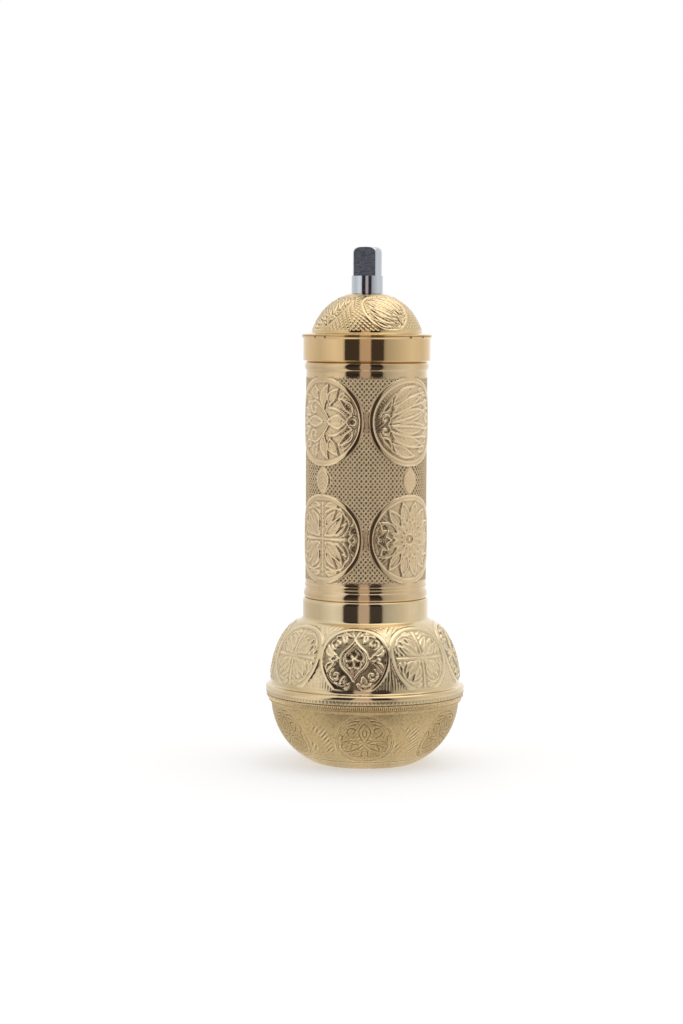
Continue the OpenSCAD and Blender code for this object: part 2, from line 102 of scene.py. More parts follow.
def turned(name, path, turns, field=slice(0, 0), height=0.0, start=0.0, **tones):
    """A turned sheet. Each point of the profile is moved by height along the profile's outward normal, which
    is its direction turned a quarter clockwise, and carried round the Z axis: x = r sin a, y = -r cos a.
    A profile that starts on the axis is closed there by two fans, and any other one closes on itself.
    Normals in the rows of field, which hold the relief, leave the rows beside them out of account."""
    domed = path[0, 0] == 0
    along = np.roll(path, -1, 0) - np.roll(path, 1, 0)
    if domed:
        along[0], along[-1] = path[1] - path[0], path[-1] - path[-2]
    if field.stop:
        along[field] = np.gradient(path[field], axis=0)
    normal = np.stack([along[:, 1], -along[:, 0]], 1) / np.hypot(*along.T)[:, None]
    shape = (len(path), turns)
    height = np.broadcast_to(height, shape)
    angle = start + 2 * np.pi * np.arange(turns) / turns
    radius = path[:, :1] + normal[:, :1] * height
    level = path[:, 1:] + normal[:, 1:] * height
    points = np.stack([radius * np.sin(angle), -radius * np.cos(angle), level], -1)
    values = {key: np.broadcast_to(tone, shape) for key, tone in tones.items()}
    if domed:
        points, values = points[1:-1], {key: tone[1:-1] for key, tone in values.items()}
    grid = np.arange(points.shape[0] * turns).reshape(-1, turns)
    lower, upper = (grid[:-1], grid[1:]) if domed else (grid, np.roll(grid, -1, 0))
    quads = np.stack([lower, np.roll(lower, -1, 1), np.roll(upper, -1, 1), upper], -1).reshape(-1, 4).tolist()
    points = points.reshape(-1, 3)
    if domed:
        foot, crown = np.full(turns, len(points)), np.full(turns, len(points) + 1)
        points = np.concatenate([points, [[0, 0, path[0, 1]], [0, 0, path[-1, 1]]]])
        quads += np.stack([foot, np.roll(grid[0], -1), grid[0]], -1).tolist()
        quads += np.stack([grid[-1], np.roll(grid[-1], -1), crown], -1).tolist()
    piece = meshed(name, points, quads)
    for key, tone in values.items():
        flat = np.zeros(len(points), np.float32)
        flat[: tone.size] = tone.ravel()
        piece.data.attributes.new(key, "FLOAT", "POINT").data.foreach_set("value", flat)
    piece.data.set_sharp_from_angle(angle=np.radians(70))
    return piece


def round_middle(side, run, turns, count, up):
    """Distances across, up and straight from the middle of a roundel, for the rows of a profile's side and one of
    count equal shares of the turn: across is the angle times the radius, and up is the run along the profile."""
    u = (2 * np.pi * np.arange(turns // count) / turns - np.pi / count) * side[:, :1]
    v = run - up + 0 * u
    return u, v, np.hypot(u, v)


def crevice(height, reach, depth):
    """How far the surface lies below its surroundings, in shares of depth: the mean height over a square of
    2 reach + 1 grid steps, less the height itself. Columns go round, and rows are mirrored at both ends."""
    wide = np.pad(np.pad(height, ((reach, reach), (0, 0)), "reflect"), ((0, 0), (reach, reach)), "wrap")
    mean = np.lib.stride_tricks.sliding_window_view(wide, (2 * reach + 1, 2 * reach + 1)).mean((2, 3))
    return np.clip((mean - height) / depth, -1, 1)


def darkened(share, ground_shade):
    """How much painted shade the metal gets: the larger of its share of a crevice and the painted shade on its
    ground, less the share by which a ridge stands above its surroundings, which gets wear and a painted highlight."""
    return np.maximum(share, ground_shade) + np.minimum(share, 0)


def after(first, rows):
    """The places in a profile of rows that follow its first ones."""
    return slice(len(first), len(first) + len(rows))


def laid(path, field, values):
    """A value for each point of a turned sheet: values in the rows of the relief, and nought in all others."""
    whole = np.zeros((len(path), values.shape[1]))
    whole[field] = values
    return whole


def bow(start, middle, end, count=13):
    """Points of the quadratic curve from start to end that leans towards middle."""
    t = np.linspace(0, 1, count)[:, None]
    return (1 - t) ** 2 * np.array(start) + 2 * t * (1 - t) * np.array(middle) + t * t * np.array(end)


def curl(centre, near, far, start, end, count=25):
    """Points of a spiral whose radius goes evenly from near to far as its angle goes from start to end."""
    t = np.linspace(0, 1, count)
    a, r = np.radians(start + (end - start) * t), near + (far - near) * t
    return np.stack([centre[0] + r * np.cos(a), centre[1] + r * np.sin(a)], 1)


def nearest(u, v, path):
    """Distance from each u, v to the nearest point of a polyline, and that point's share of the way along."""
    side = np.diff(path, axis=0)
    pu, pv = u[..., None] - path[:-1, 0], v[..., None] - path[:-1, 1]
    t = np.clip((pu * side[:, 0] + pv * side[:, 1]) / (side**2).sum(1), 0, 1)
    far = np.hypot(pu - t * side[:, 0], pv - t * side[:, 1])
    best = far.argmin(-1)[..., None]
    share = (best + np.take_along_axis(t, best, -1)) / len(side)
    return np.take_along_axis(far, best, -1)[..., 0], share[..., 0]


def stem(u, v, path, width):
    """A round-backed line along a polyline: a ridge over the distance from it."""
    return ridge(nearest(u, v, path)[0], width / 2)


def ring(u, v, centre, radius, width):
    """A round-backed ring about a centre, as stem is along a polyline."""
    return ridge(np.hypot(u - centre[0], v - centre[1]) - radius, width / 2)


def drawn(line, u, v, rows):
    """The highest of several lines or leaves at each point. A row holds the three points of a bow and a width."""
    return np.maximum.reduce([line(u, v, bow(*row[:3]), row[3]) for row in rows])


def hatching(u, v, slant, pitch):
    """Parallel grooves, as the clipped cosine of the distance across lines that lean by slant degrees."""
    a = np.radians(slant)
    return eased(np.cos(2 * np.pi * (u * np.cos(a) + v * np.sin(a)) / pitch), -0.2, 0.9)


def engraved_flower(u, v):
    """Fine strokes on a unit disc, alike on both sides: a bud with curls beside it, a veined lobe below each
    curl, and two rings round them."""
    m = np.abs(u)
    return np.maximum.reduce([
        drawn(stem, m, v, [
            ((0, 0.72), (0.32, 0.5), (0.12, 0.16), 0.06), ((0.12, 0.16), (0.05, 0.0), (0, -0.04), 0.06),
            ((0, 0.5), (0.14, 0.36), (0, 0.2), 0.05), ((0.1, 0.1), (0.3, 0.02), (0.42, 0.2), 0.055),
            ((0.02, -0.1), (0.3, 0.12), (0.66, 0.02), 0.06), ((0.66, 0.02), (0.9, -0.12), (0.7, -0.42), 0.06),
            ((0.7, -0.42), (0.42, -0.5), (0.02, -0.1), 0.06), ((0.2, -0.1), (0.44, -0.06), (0.66, -0.26), 0.045),
            ((0.4, -0.08), (0.5, -0.02), (0.62, -0.04), 0.04), ((0.42, -0.14), (0.5, -0.26), (0.52, -0.38), 0.04),
            ((0, -0.26), (0.16, -0.42), (0.1, -0.66), 0.055), ((0.1, -0.66), (0.3, -0.78), (0.52, -0.62), 0.055),
            ((0.3, -0.56), (0.42, -0.6), (0.46, -0.72), 0.045), ((0.2, 0.8), (0.5, 0.84), (0.74, 0.52), 0.055),
            ((0.3, 0.68), (0.52, 0.7), (0.66, 0.48), 0.045), ((0.86, 0.3), (0.74, 0.22), (0.8, 0.04), 0.05)]),
        stem(m, v, curl((0.42, 0.42), 0.22, 0.05, -100, 260), 0.055),
        ring(u, v, (0, 0), 0.94, 0.045), 0.8 * ring(u, v, (0, 0), 1.0, 0.045)])


def node(tree, kind, inputs=(), out=0, **settings):
    """Adds a shader node, sets its settings, fills each named input by value or link, and returns one output."""
    made = tree.nodes.new("ShaderNode" + kind)
    for key, value in settings.items():
        setattr(made, key, value)
    for key, value in dict(inputs).items():
        if isinstance(value, bpy.types.NodeSocket):
            tree.links.new(value, made.inputs[key])
        else:
            made.inputs[key].default_value = (*value, 1.0) if made.inputs[key].type == "RGBA" else value
    return made.outputs[out] if made.outputs else made


def graded(tree, value, low, high, start=0.0, end=1.0, kind="LINEAR"):
    """A value's way from low to high, put between start and end."""
    return node(tree, "MapRange", {"Value": value, "From Min": low, "From Max": high, "To Min": start, "To Max": end},
                interpolation_type=kind)


def tinted(tree, share, first, second):
    """A colour that goes from first to second by share."""
    return node(tree, "Mix", {0: share, 6: first, 7: second}, 2, data_type="RGBA")


def reckoned(tree, operation, first, second, third=0.0, **settings):
    """One step of arithmetic on values or links."""
    return node(tree, "Math", {0: first, 1: second, 2: third}, operation=operation, **settings)


def noise(tree, place, scale, detail, rough=0.5, stretch=None):
    """Cloudy noise of so many lumps in a metre, finer along an axis by its share in stretch."""
    place = node(tree, "Mapping", {"Vector": place, "Scale": stretch}) if stretch else place
    return node(tree, "TexNoise", {"Vector": place, "Scale": scale, "Detail": detail, "Roughness": rough})


def blank(name):
    """A new material, its empty node tree, and the Object coordinates in it."""
    material = bpy.data.materials.new(name)
    material.use_nodes = True
    material.node_tree.nodes.clear()
    return material, material.node_tree, node(material.node_tree, "TexCoord", out="Object")


def metalled(tree, tint, metallic, rough, bumps, strength, distance):
    """Ends a metal's nodes: one shader with a bump, and the output."""
    dents = node(tree, "Bump", {"Height": bumps, "Strength": strength, "Distance": distance})
    node(tree, "OutputMaterial", {"Surface": node(tree, "BsdfPrincipled", {
        "Base Color": tint, "Metallic": metallic, "Roughness": rough, "Normal": dents})})


def brass(name, metal, warm, tarnish_and_shade, gloss, satin, grain, flecks=0.24):
    """Brass: its tint drifts between metal and warm in slow clouds. Above nought the recess attribute turns it towards
    its darkest colour, as painted shade in hollows and as dark solder, and below nought towards pale straw, partly
    wear and partly a painted highlight on ridges. With the worked attribute it pales, its roughness goes from gloss
    by steps of satin less gloss, and the darkest colour flecks its dimples as tarnish, grain in a metre. Above one,
    its ground turns matt. Fine polishing lines run round the axis."""
    material, tree, place = blank(name)
    recess = node(tree, "Attribute", out="Fac", attribute_name="recess")
    worked = node(tree, "Attribute", out="Fac", attribute_name="worked")
    cloud = noise(tree, place, 70, 4, 0.6)
    dimple = noise(tree, place, grain, 3, 0.55)
    lines = noise(tree, place, 1, 3, 0.7, (45, 45, 3200))
    pale = tuple(0.5 * own + 0.5 * straw for own, straw in zip(metal, matt_straw))
    tint = tinted(tree, graded(tree, cloud, 0.35, 0.65), metal, warm)
    tint = tinted(tree, graded(tree, worked, 0, 1, 0, 0.3), tint, pale)
    tint = tinted(tree, graded(tree, worked, 1, 6, 0, 0.95), tint, pale)
    # Recess paints shade in hollows, and a highlight with some wear on ridges.
    tint = tinted(tree, graded(tree, recess, -0.1, -0.6, 0, 0.8), tint, worn_and_highlight_straw)
    tint = tinted(tree, graded(tree, recess, 0.15, 1, 0, 0.9), tint, tarnish_and_shade)
    specks = graded(tree, dimple, 0.48, 0.72, 0, flecks)
    tint = tinted(tree, reckoned(tree, "MULTIPLY", specks, graded(tree, worked, 0, 1)), tint, tarnish_and_shade)
    rough = reckoned(tree, "MULTIPLY_ADD", worked, satin - gloss, gloss)
    rough = reckoned(tree, "ADD", graded(tree, lines, 0.3, 0.7, -0.02, 0.03), rough)
    rough = reckoned(tree, "ADD", graded(tree, recess, 0, 1, 0, 0.12), rough, use_clamp=True)
    bumps = reckoned(tree, "ADD", dimple, graded(tree, lines, 0, 1, 0, 0.5))
    metalled(tree, tint, graded(tree, worked, 1, 6, 1, 0.2), rough, bumps,
             graded(tree, worked, 0, 1, 0.015, 0.18), 0.0003)
    return material


def fitted(piece, material, body, solid):
    """Gives a piece its material and its body, and hides the node that it stands for."""
    piece.data.materials.append(material)
    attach(piece, body)
    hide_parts(solid)


bowl_low, bowl_high = -bowl_centre[1], bowl_top - bowl_centre[1]
bowl_side = arc(bowl_centre, bowl_arc_r, lean(bowl_low, bowl_arc_r), lean(bowl_high, bowl_arc_r), 400)
bowl_side = even(bowl_side, bowl_step)
bowl_inner_r = bowl_arc_r - bowl_wall
bowl_inner = arc(bowl_centre, bowl_inner_r, lean(bowl_high, bowl_inner_r), lean(bowl_low + bowl_wall, bowl_inner_r), 22)
bowl_foot = np.array([(0, 0), (6, 0), (12, 0), (bowl_base_r - 1.4, 0), (bowl_base_r - 0.4, 0.02)])
bowl_path = np.concatenate([bowl_foot, bowl_side, bowl_inner, [(8, bowl_wall), (0, bowl_wall)]])
bowl_rows = after(bowl_foot, bowl_side)
bowl_run = bowl_step * np.arange(len(bowl_side))[:, None]
bowl_u, bowl_v, bowl_far = round_middle(bowl_side, bowl_run, bowl_turns, bowl_roundels, bowl_roundel_up)
bowl_gap = eased(bowl_far, 10.6, 11.4) * eased(bowl_run, 10.5, 12.0) * (1 - eased(bowl_run, 21.5, 23.0))
bowl_lines = np.maximum.reduce([
    engraved_flower(bowl_u / bowl_roundel_r, bowl_v / bowl_roundel_r),
    0.3 * (1 - eased(bowl_far, 9.0, 9.4)) * hatching(bowl_u, bowl_v, np.where(bowl_u > 0, 35, 145), 1.05),
    bowl_gap * hatching(bowl_u, bowl_v, -40, 1.4) * (0.3 + 0.4 * np.sin(0.8 * bowl_u + 0.3 * bowl_v)),
    ridge(bowl_run - bowl_ring_up, bowl_ring_half) + 0 * bowl_u])
bowl_uneven = 0.75 + 0.25 * np.sin(0.9 * bowl_u + 2.3 * np.sin(0.7 * bowl_v))
bowl_relief = -bowl_cut * np.tile(bowl_lines * bowl_uneven, (1, bowl_roundels))
# Painted shade: each roundel's middle is darkened, and through the crevice the engraved lines get painted shade and
# their edges a painted highlight.
bowl_shade = np.tile(bowl_painted_shade * (1 - eased(bowl_far, 7.0, 10.4)), (1, bowl_roundels))
bowl_brass = brass("bowl_brass", (0.6, 0.455, 0.235), (0.54, 0.395, 0.185), (0.14, 0.095, 0.04), 0.2, 0.5, 1500, 0.45)
bowl = turned("bowl", bowl_path, bowl_turns, bowl_rows, laid(bowl_path, bowl_rows, bowl_relief), -np.pi / bowl_roundels,
              recess=laid(bowl_path, bowl_rows, darkened(crevice(bowl_relief, 2, 0.09), bowl_shade)), worked=1.0)
fitted(bowl, bowl_brass, "cup", "catch_cup")


# Knurled band: the bowl's mouth, flared out to the rim above it and rolled between two wheels, which leave
# a milled edge of three hundred upright ridges over a fine bead. It is brass like the bowl.

band_low, band_high, band_inside = 20.9, 24.2, 32.04
band_foot, band_bead, band_lip, band_mouth = (32.84, band_low), (33.8, 22.2), (34.6, 23.75), (34.3, 24.15)
band_turns, band_ridges, band_proud = 1200, 300, 0.18


def softened(points, radius):
    """A polyline whose corners are cut back by radius on both sides and bridged by a quadratic curve."""
    points = np.asarray(points, float)
    corner, back, on = points[1:-1], points[:-2] - points[1:-1], points[2:] - points[1:-1]
    back = corner + radius * back / np.hypot(*back.T)[:, None]
    on = corner + radius * on / np.hypot(*on.T)[:, None]
    t = np.array([0, 0.3, 0.7, 1])[:, None]
    bend = (1 - t) ** 2 * back[:, None] + 2 * t * (1 - t) * corner[:, None] + t * t * on[:, None]
    return np.concatenate([points[:1], bend.reshape(-1, 2), points[-1:]])


def milled(rows, turns, ridges, proud):
    """Upright ridges as a cosine round the axis, which fade out at the first and the last row."""
    share = np.linspace(0, 1, rows)[:, None]
    wave = np.cos(ridges * 2 * np.pi * np.arange(turns) / turns) - 0.4
    return proud * wave * eased(share, 0, 0.2) * (1 - eased(share, 0.8, 1))


band_below = softened([(32.3, band_low), band_foot, (33.55, 21.85), (33.77, 21.9), band_bead, (33.65, 22.35)], 0.06)
band_edge = even([(33.65, 22.4), (34.3, 23.3), band_lip], 0.15)
band_inner = [band_mouth, (34.0, band_high), (band_inside, band_high), (band_inside, band_low)]
band_path = np.concatenate([band_below, band_edge, band_inner])
band_rows = after(band_below, band_edge)
band_ridged = milled(len(band_edge), band_turns, band_ridges, band_proud)
# Through recess, the milled edge gets painted shade in its grooves and a painted highlight on its ridges.
band = turned("knurled_band", band_path, band_turns, band_rows, laid(band_path, band_rows, band_ridged),
              recess=laid(band_path, band_rows, crevice(band_ridged, 2, 0.09)), worked=1.0)
fitted(band, bowl_brass, "cup", "catch_cup")


# Collar: a plain brass ring soldered inside the bowl's mouth. It slips into the ball above, so years of
# pulling the mill off have left it smooth.


def dressed(material, *nodes):
    """Gives nodes of the frame, which keep their own shape, their material."""
    for name in nodes:
        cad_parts[name].material_slots[0].material = material


collar_brass = brass("collar_brass", (0.6, 0.45, 0.25), (0.54, 0.38, 0.19), (0.17, 0.11, 0.05), 0.22, 0.3, 1200)
dressed(collar_brass, "cup_collar")


# Ball shell: neck, shoulder and rolled rim, spun from one brass sheet, the rim's edge milled like the bowl's.
# Eight embossed roundels stand round its shoulder, by turns a flower in a pointed frame and a leaf cross.

rim_bead_r, rim_bead_centre, rim_ridges, rim_proud = 1.2, (33.7, 26.45), 160, 0.05
ball_r, ball_equator, ball_wall = 33.1, 28.5, 0.8
shoulder_core, shoulder_wide, shoulder_tall, shoulder_power = 18, 15.1, 23.0, 10
neck_r, neck_in, neck_top, lip_wide, lip_tall = 21.95, 21.15, 57.933, 0.7, 1.3
ball_turns, ball_roundels, ball_facing = 640, 8, np.radians(-6.8)
ball_roundel_r, ball_roundel_up, ball_groove_r = 10.5, 11.3, 10.6
ball_rim = (11.5, 0.75, 0.22, 0.06, 12.0)
ball_hatch_deep, ball_sunk = 0.11, 0.1
# The second and fourth numbers set how dark the painted shade is on each motif's ground.
flower_proud, flower_painted_shade, cross_proud, cross_painted_shade = 0.48, 0.7, 0.32, 0.15


def shoulder(inset, count=300):
    """The shoulder's profile: r = core + tenth root of (n^10 + (w cos a)^10) and z = equator + h sin a, where the
    neck's n, the width w and the height h all lie inset in from the outside."""
    a = np.linspace(0, np.pi / 2, count)
    neck, wide = neck_r - shoulder_core - inset, (shoulder_wide - inset) * np.cos(a)
    r = shoulder_core + (neck**shoulder_power + wide**shoulder_power) ** (1 / shoulder_power)
    return np.stack([r, ball_equator + (shoulder_tall - inset) * np.sin(a)], 1)


def leaf(u, v, path, width, swell=1.0, rib=0.5):
    """A leaf along a polyline, with a raised outline round a low domed body. Its half width is a sine of the way
    along, a rib is sunk in the body, and slanted side veins are a cosine of the way along and across."""
    far, share = nearest(u, v, path)
    half = width / 2 * np.sin(np.pi * np.clip(share, 0.02, 0.98) ** swell)
    body = np.sqrt(ridge(far, half)) * (1 - rib * np.exp(-((far / (0.1 * width)) ** 2)))
    veins = 1 - 0.22 * rib * (1 + np.cos(2 * np.pi * (7 * share + 0.9 * far / half)))
    return np.maximum((1 - 0.6 * rib) * body * veins, ridge(far - half, 0.045) * (rib > 0))


def wheel(u, v, count, start, reach, *shape):
    """A wheel of leaves about a centre, the first of them at the angle start: what the angle leaves over after
    whole shares of the turn puts every leaf on one ray, where reach says that it begins, leans and ends."""
    r, t = np.hypot(u, v), np.arctan2(v, u)
    fold = (t - start + np.pi / count) % (2 * np.pi / count) - np.pi / count
    return leaf(r * np.cos(fold), np.abs(r * np.sin(fold)), bow(*((out, 0) for out in reach)), *shape)


def rounded(far, middle, half, step, swell, crest):
    """A low rounded band: step high with steep sides, and a parabola of swell on top of that, highest at crest."""
    share = np.abs(far - middle) / half
    return (step + swell * (1 - ((far - crest) / (1.4 * half)) ** 2)) * (1 - eased(share, 0.9, 1.2))


def framed_flower(u, v):
    """Relief on a unit disc: a pointed frame of two lines round a raised bed, five petals sunk in it
    round a boss, and corner scrolls with leaves."""
    a, b, r = np.abs(u), np.abs(v), np.hypot(u, v)
    edge = np.concatenate([bow((0, 0.68), (0.07, 0.5), (0.28, 0.32)), bow((0.28, 0.32), (0.44, 0.17), (0.44, 0))[1:]])
    inner = np.concatenate([bow((0, 0.53), (0.06, 0.4), (0.21, 0.25)), bow((0.21, 0.25), (0.33, 0.13), (0.33, 0))[1:]])
    petals = wheel(u, v, 5, np.pi / 2, (0.06, 0.17, 0.31), 0.25, 1.3, 0.0)
    return np.maximum.reduce([
        stem(a, b, edge, 0.1), 0.7 * stem(a, b, inner, 0.06), 0.9 * ridge(r, 0.08),
        stem(a, b, curl((0.6, 0.52), 0.2, 0.04, -70, 330), 0.08),
        stem(a, v, bow((0, 0.68), (0.03, 0.84), (0.12, 0.97)), 0.07),
        drawn(leaf, a, b, [
            ((0.14, 0.8), (0.34, 0.98), (0.62, 0.78), 0.15), ((0.62, 0.12), (0.92, 0.2), (0.9, 0.46), 0.17),
            ((0.3, 0.58), (0.36, 0.72), (0.34, 0.84), 0.12), ((0.5, 0.0), (0.62, 0.03), (0.82, 0.0), 0.1)]),
        0.2 * eased(1 - a / 0.4 - b / 0.62, 0.0, 0.1)]) - petals * (r > 0.08)


def leaf_cross(u, v):
    """Relief on a unit disc: a cross of thin bars, and in each quarter a lobe with three leaves and two beside it."""
    a, b = np.abs(u), np.abs(v)
    return np.maximum.reduce([
        0.8 * ridge(a, 0.045) * (b < 0.95), 0.8 * ridge(b, 0.045) * (a < 0.95),
        stem(a, b, curl((0.42, 0.42), 0.38, 0.38, -50, 140), 0.08),
        drawn(leaf, a, b, [
            ((0.1, 0.1), (0.34, 0.22), (0.62, 0.6), 0.24), ((0.13, 0.28), (0.18, 0.5), (0.42, 0.7), 0.16),
            ((0.28, 0.13), (0.5, 0.18), (0.7, 0.42), 0.16), ((0.84, 0.14), (0.92, 0.3), (0.8, 0.52), 0.13),
            ((0.14, 0.84), (0.3, 0.92), (0.52, 0.8), 0.13)])])


rim_foot = [(32.32, band_high), (34.0, band_high), (34.4, 24.28)]
rim_edge = even([(34.6, 24.55), (34.72, 25.0), (34.74, 25.7)], 0.13)
rim_rows = after(rim_foot, rim_edge)
ball_low = np.concatenate([rim_foot, rim_edge, arc(rim_bead_centre, rim_bead_r, -24, 82, 14),
                           [(33.35, 27.9), (ball_r, 28.25)]])
ball_side = even(shoulder(0), 0.33)
ball_rows = after(ball_low, ball_side)
neck_lip = (neck_r - lip_wide, neck_top - lip_tall) + arc((0, 0), 1, 0, 90, 12) * (lip_wide, lip_tall)
ball_neck = np.concatenate([even([(neck_r, 52.4), (neck_r, neck_top - lip_tall)], 1.1)[:-1], neck_lip,
                            [(neck_in, neck_top - 0.1), (neck_in, 52.0)]])
ball_path = np.concatenate([ball_low, ball_side, ball_neck, even(shoulder(ball_wall), 2.5)[::-1]])
ball_run = np.linspace(0, 1, len(ball_side))[:, None] * np.hypot(*np.diff(ball_side, axis=0).T).sum()
ball_u, ball_v, ball_far = round_middle(ball_side, ball_run, ball_turns, ball_roundels, ball_roundel_up)
ball_zone = eased(ball_run, 0.5, 1.2) * (1 - eased(ball_run, 23.4, 24.2))
ball_hatch = np.where(ball_v > 0, hatching(ball_u, ball_v, np.where(ball_u > 0, 40, 140), 1.3),
                      hatching(ball_u, ball_v, 0, 0.98)) * eased(ball_far, 12.3, 12.6)
ball_frame = rounded(ball_far, *ball_rim) * ball_zone
ball_inside = 1 - eased(ball_far, 10.4, 10.6)


def ball_relief(motif, proud, ground_shade):
    """One eighth of the shoulder, as its relief and its painted shade: the roundel's rim and its motif, proud by so
    much, less the groove inside the rim and the hatching outside it. The motif's ground, and what is sunk in it, get
    painted shade, and the last argument says how dark it is on the ground."""
    raised = motif(ball_u / ball_roundel_r, ball_v / ball_roundel_r)
    height = (ball_frame + ball_inside * (proud * raised - ball_sunk) - ball_hatch_deep * ball_zone * ball_hatch
              - ball_sunk * ball_zone * ridge(ball_far - ball_groove_r, 0.3))
    return height, ball_inside * np.maximum(ground_shade * (1 - eased(raised, 0.03, 0.3)), np.clip(-1.5 * raised, 0, 1))


ball_pair = zip(ball_relief(framed_flower, flower_proud, flower_painted_shade),
                ball_relief(leaf_cross, cross_proud, cross_painted_shade))
ball_raised, ball_ground = (np.tile(np.concatenate(pair, 1), (1, ball_roundels // 2)) for pair in ball_pair)
ball_height = laid(ball_path, ball_rows, ball_raised)
ball_height[rim_rows] = milled(len(rim_edge), ball_turns, rim_ridges, rim_proud)
ball_worked = laid(ball_path, ball_rows, np.tile(ball_zone * (1 - eased(ball_frame, 0.05, 0.2)), (1, ball_roundels)))
ball_worked[: rim_rows.stop], ball_worked[ball_rows.stop + len(ball_neck) :] = 2, 1
# Painted shade in hollows and on the roundels' ground, and a painted highlight on ridges.
ball_recess = laid(ball_path, ball_rows, darkened(0.7 * crevice(ball_raised, 3, 0.24), ball_ground))
# Painted shade all along the rim's milled edge, deeper in its grooves.
ball_recess[rim_rows] = 0.3 + 0.35 * crevice(ball_height[rim_rows], 1, 0.06)
ball_brass = brass("ball_brass", (0.72, 0.59, 0.38), (0.66, 0.515, 0.3), (0.09, 0.06, 0.028), 0.07, 0.15, 1700)
ball = turned("ball", ball_path, ball_turns, ball_rows, ball_height, ball_facing - np.pi / ball_roundels,
              recess=ball_recess, worked=ball_worked)
fitted(ball, ball_brass, "mill", "ball_shell")


# Hopper tube: brass sheet rolled up and soldered, with rolled beads at both ends. Two rows of four embossed
# roundels with raised rims stand on a ground of small punched pits, and ribbed lenses link the rows.

tube_r, tube_in, tube_lip, tube_foot, tube_top, tube_middle = 21.1, 20.4, 20.9, 50.933, 149.133, 99.7
tube_turns, tube_quarters, field_low, field_high, field_rows = 576, 4, 64.3, 135.1, 134
roundel_r, roundel_wide, roundel_up, motif_r, motif_proud, motif_sunk = 15.2, 0.955, 20.2, 13.25, 0.44, 0.1
roundel_rim = (14.42, 0.88, 0.3, 0.07, 14.8)
pit_across, pit_up, pit_deep = 84, 1.85, 0.24
lens_wide, lens_tall, lens_proud, lens_groove = 3.3, 5.1, 0.26, 0.25
tie_tall, tie_proud, tie_cut = 3.6, 0.28, 0.14


def palmette(u, v):
    """Relief on a unit disc, alike above and below: petals that fan out to the left from a hollow ring at the
    right, and curled stems with ribbed leaves beyond them."""
    m = np.abs(v)
    return np.maximum.reduce([
        ring(u, m, (0.84, 0), 0.12, 0.1), stem(u, m, curl((-0.34, 0.34), 0.2, 0.04, 75, 430), 0.07),
        1.15 * stem(u, m, bow((0.7, 0.12), (0.5, 0.36), (0.2, 0.36)), 0.08),
        drawn(stem, u, m, [
            ((0.93, 0.22), (0.92, 0.52), (0.62, 0.74), 0.06), ((0.2, 0.06), (0.1, 0.3), (-0.3, 0.56), 0.07)]),
        drawn(leaf, u, m, [
            ((0.7, 0), (0.46, 0.02), (0.16, 0), 0.3), ((0.84, 0.2), (0.8, 0.44), (0.5, 0.58), 0.2),
            ((0.24, 0.44), (0.24, 0.66), (0.46, 0.84), 0.22), ((0.04, 0.36), (-0.04, 0.66), (0.16, 0.94), 0.22),
            ((-0.2, 0.6), (-0.36, 0.74), (-0.3, 0.93), 0.2), ((-0.48, 0.52), (-0.66, 0.56), (-0.68, 0.7), 0.18),
            ((-0.56, 0.16), (-0.78, 0.3), (-0.94, 0.24), 0.2), ((-0.02, 0), (-0.3, 0.02), (-0.62, 0), 0.22),
            ((-0.66, 0), (-0.8, 0), (-0.96, 0), 0.16)])]) - 1.2 * ridge(np.hypot(u - 0.84, v), 0.085)


def fan(u, v):
    """Relief on a unit disc: long lens-shaped leaves that fan out to the right from two curls at the left, with
    arcs beside the rim. It is mirrored about a line that rises a little to the right."""
    m = np.abs(v - 0.1 * u)
    return np.maximum.reduce([
        stem(u, m, curl((-0.73, 0.15), 0.15, 0.04, -60, 280), 0.07),
        stem(u, m, curl((0, 0), 0.88, 0.88, 166, 112), 0.06),
        1.2 * drawn(stem, u, m, [
            ((-0.55, 0.05), (0.0, 0.08), (0.72, 0.27), 0.08), ((-0.6, 0.16), (-0.2, 0.42), (0.56, 0.44), 0.07),
            ((-0.5, 0.42), (0.0, 0.72), (0.6, 0.7), 0.08)]),
        drawn(leaf, u, m, [
            ((-0.52, 0.07), (0.0, 0.2), (0.62, 0.19), 0.29), ((-0.56, 0.22), (-0.2, 0.52), (0.42, 0.6), 0.27),
            ((-0.52, 0.52), (-0.3, 0.78), (0.14, 0.9), 0.22), ((0.52, 0.42), (0.78, 0.42), (0.92, 0.24), 0.2),
            ((0.34, 0.8), (0.52, 0.78), (0.68, 0.6), 0.16), ((0.68, 0.02), (0.82, 0.03), (0.97, 0.02), 0.17),
            ((-0.8, 0.34), (-0.68, 0.42), (-0.56, 0.62), 0.13)])])


def quartered(u, v):
    """Relief on a unit disc: a cross, lobes of quarter arcs with leaves in them, and outlined lozenges with
    curved lines at both sides."""
    a, b = np.abs(u), np.abs(v)
    return np.maximum.reduce([
        0.6 * ridge(a, 0.04) * (b < 0.95), 0.8 * ridge(b, 0.04) * (a < 0.74),
        stem(a, b, curl((0.4, 0.42), 0.39, 0.39, -52, 142), 0.07),
        stem(a, b, bow((0.82, 0.14), (0.74, 0.3), (0.9, 0.4)), 0.06),
        drawn(leaf, a, b, [
            ((0.1, 0.1), (0.36, 0.2), (0.6, 0.64), 0.24), ((0.14, 0.3), (0.18, 0.5), (0.4, 0.72), 0.16),
            ((0.3, 0.14), (0.5, 0.18), (0.7, 0.4), 0.16), ((0.78, 0.5), (0.8, 0.66), (0.58, 0.82), 0.14),
            ((0.12, 0.86), (0.3, 0.94), (0.46, 0.86), 0.12)]),
        ridge(np.abs(a - 0.87) + 0.8 * b - 0.09, 0.05)])


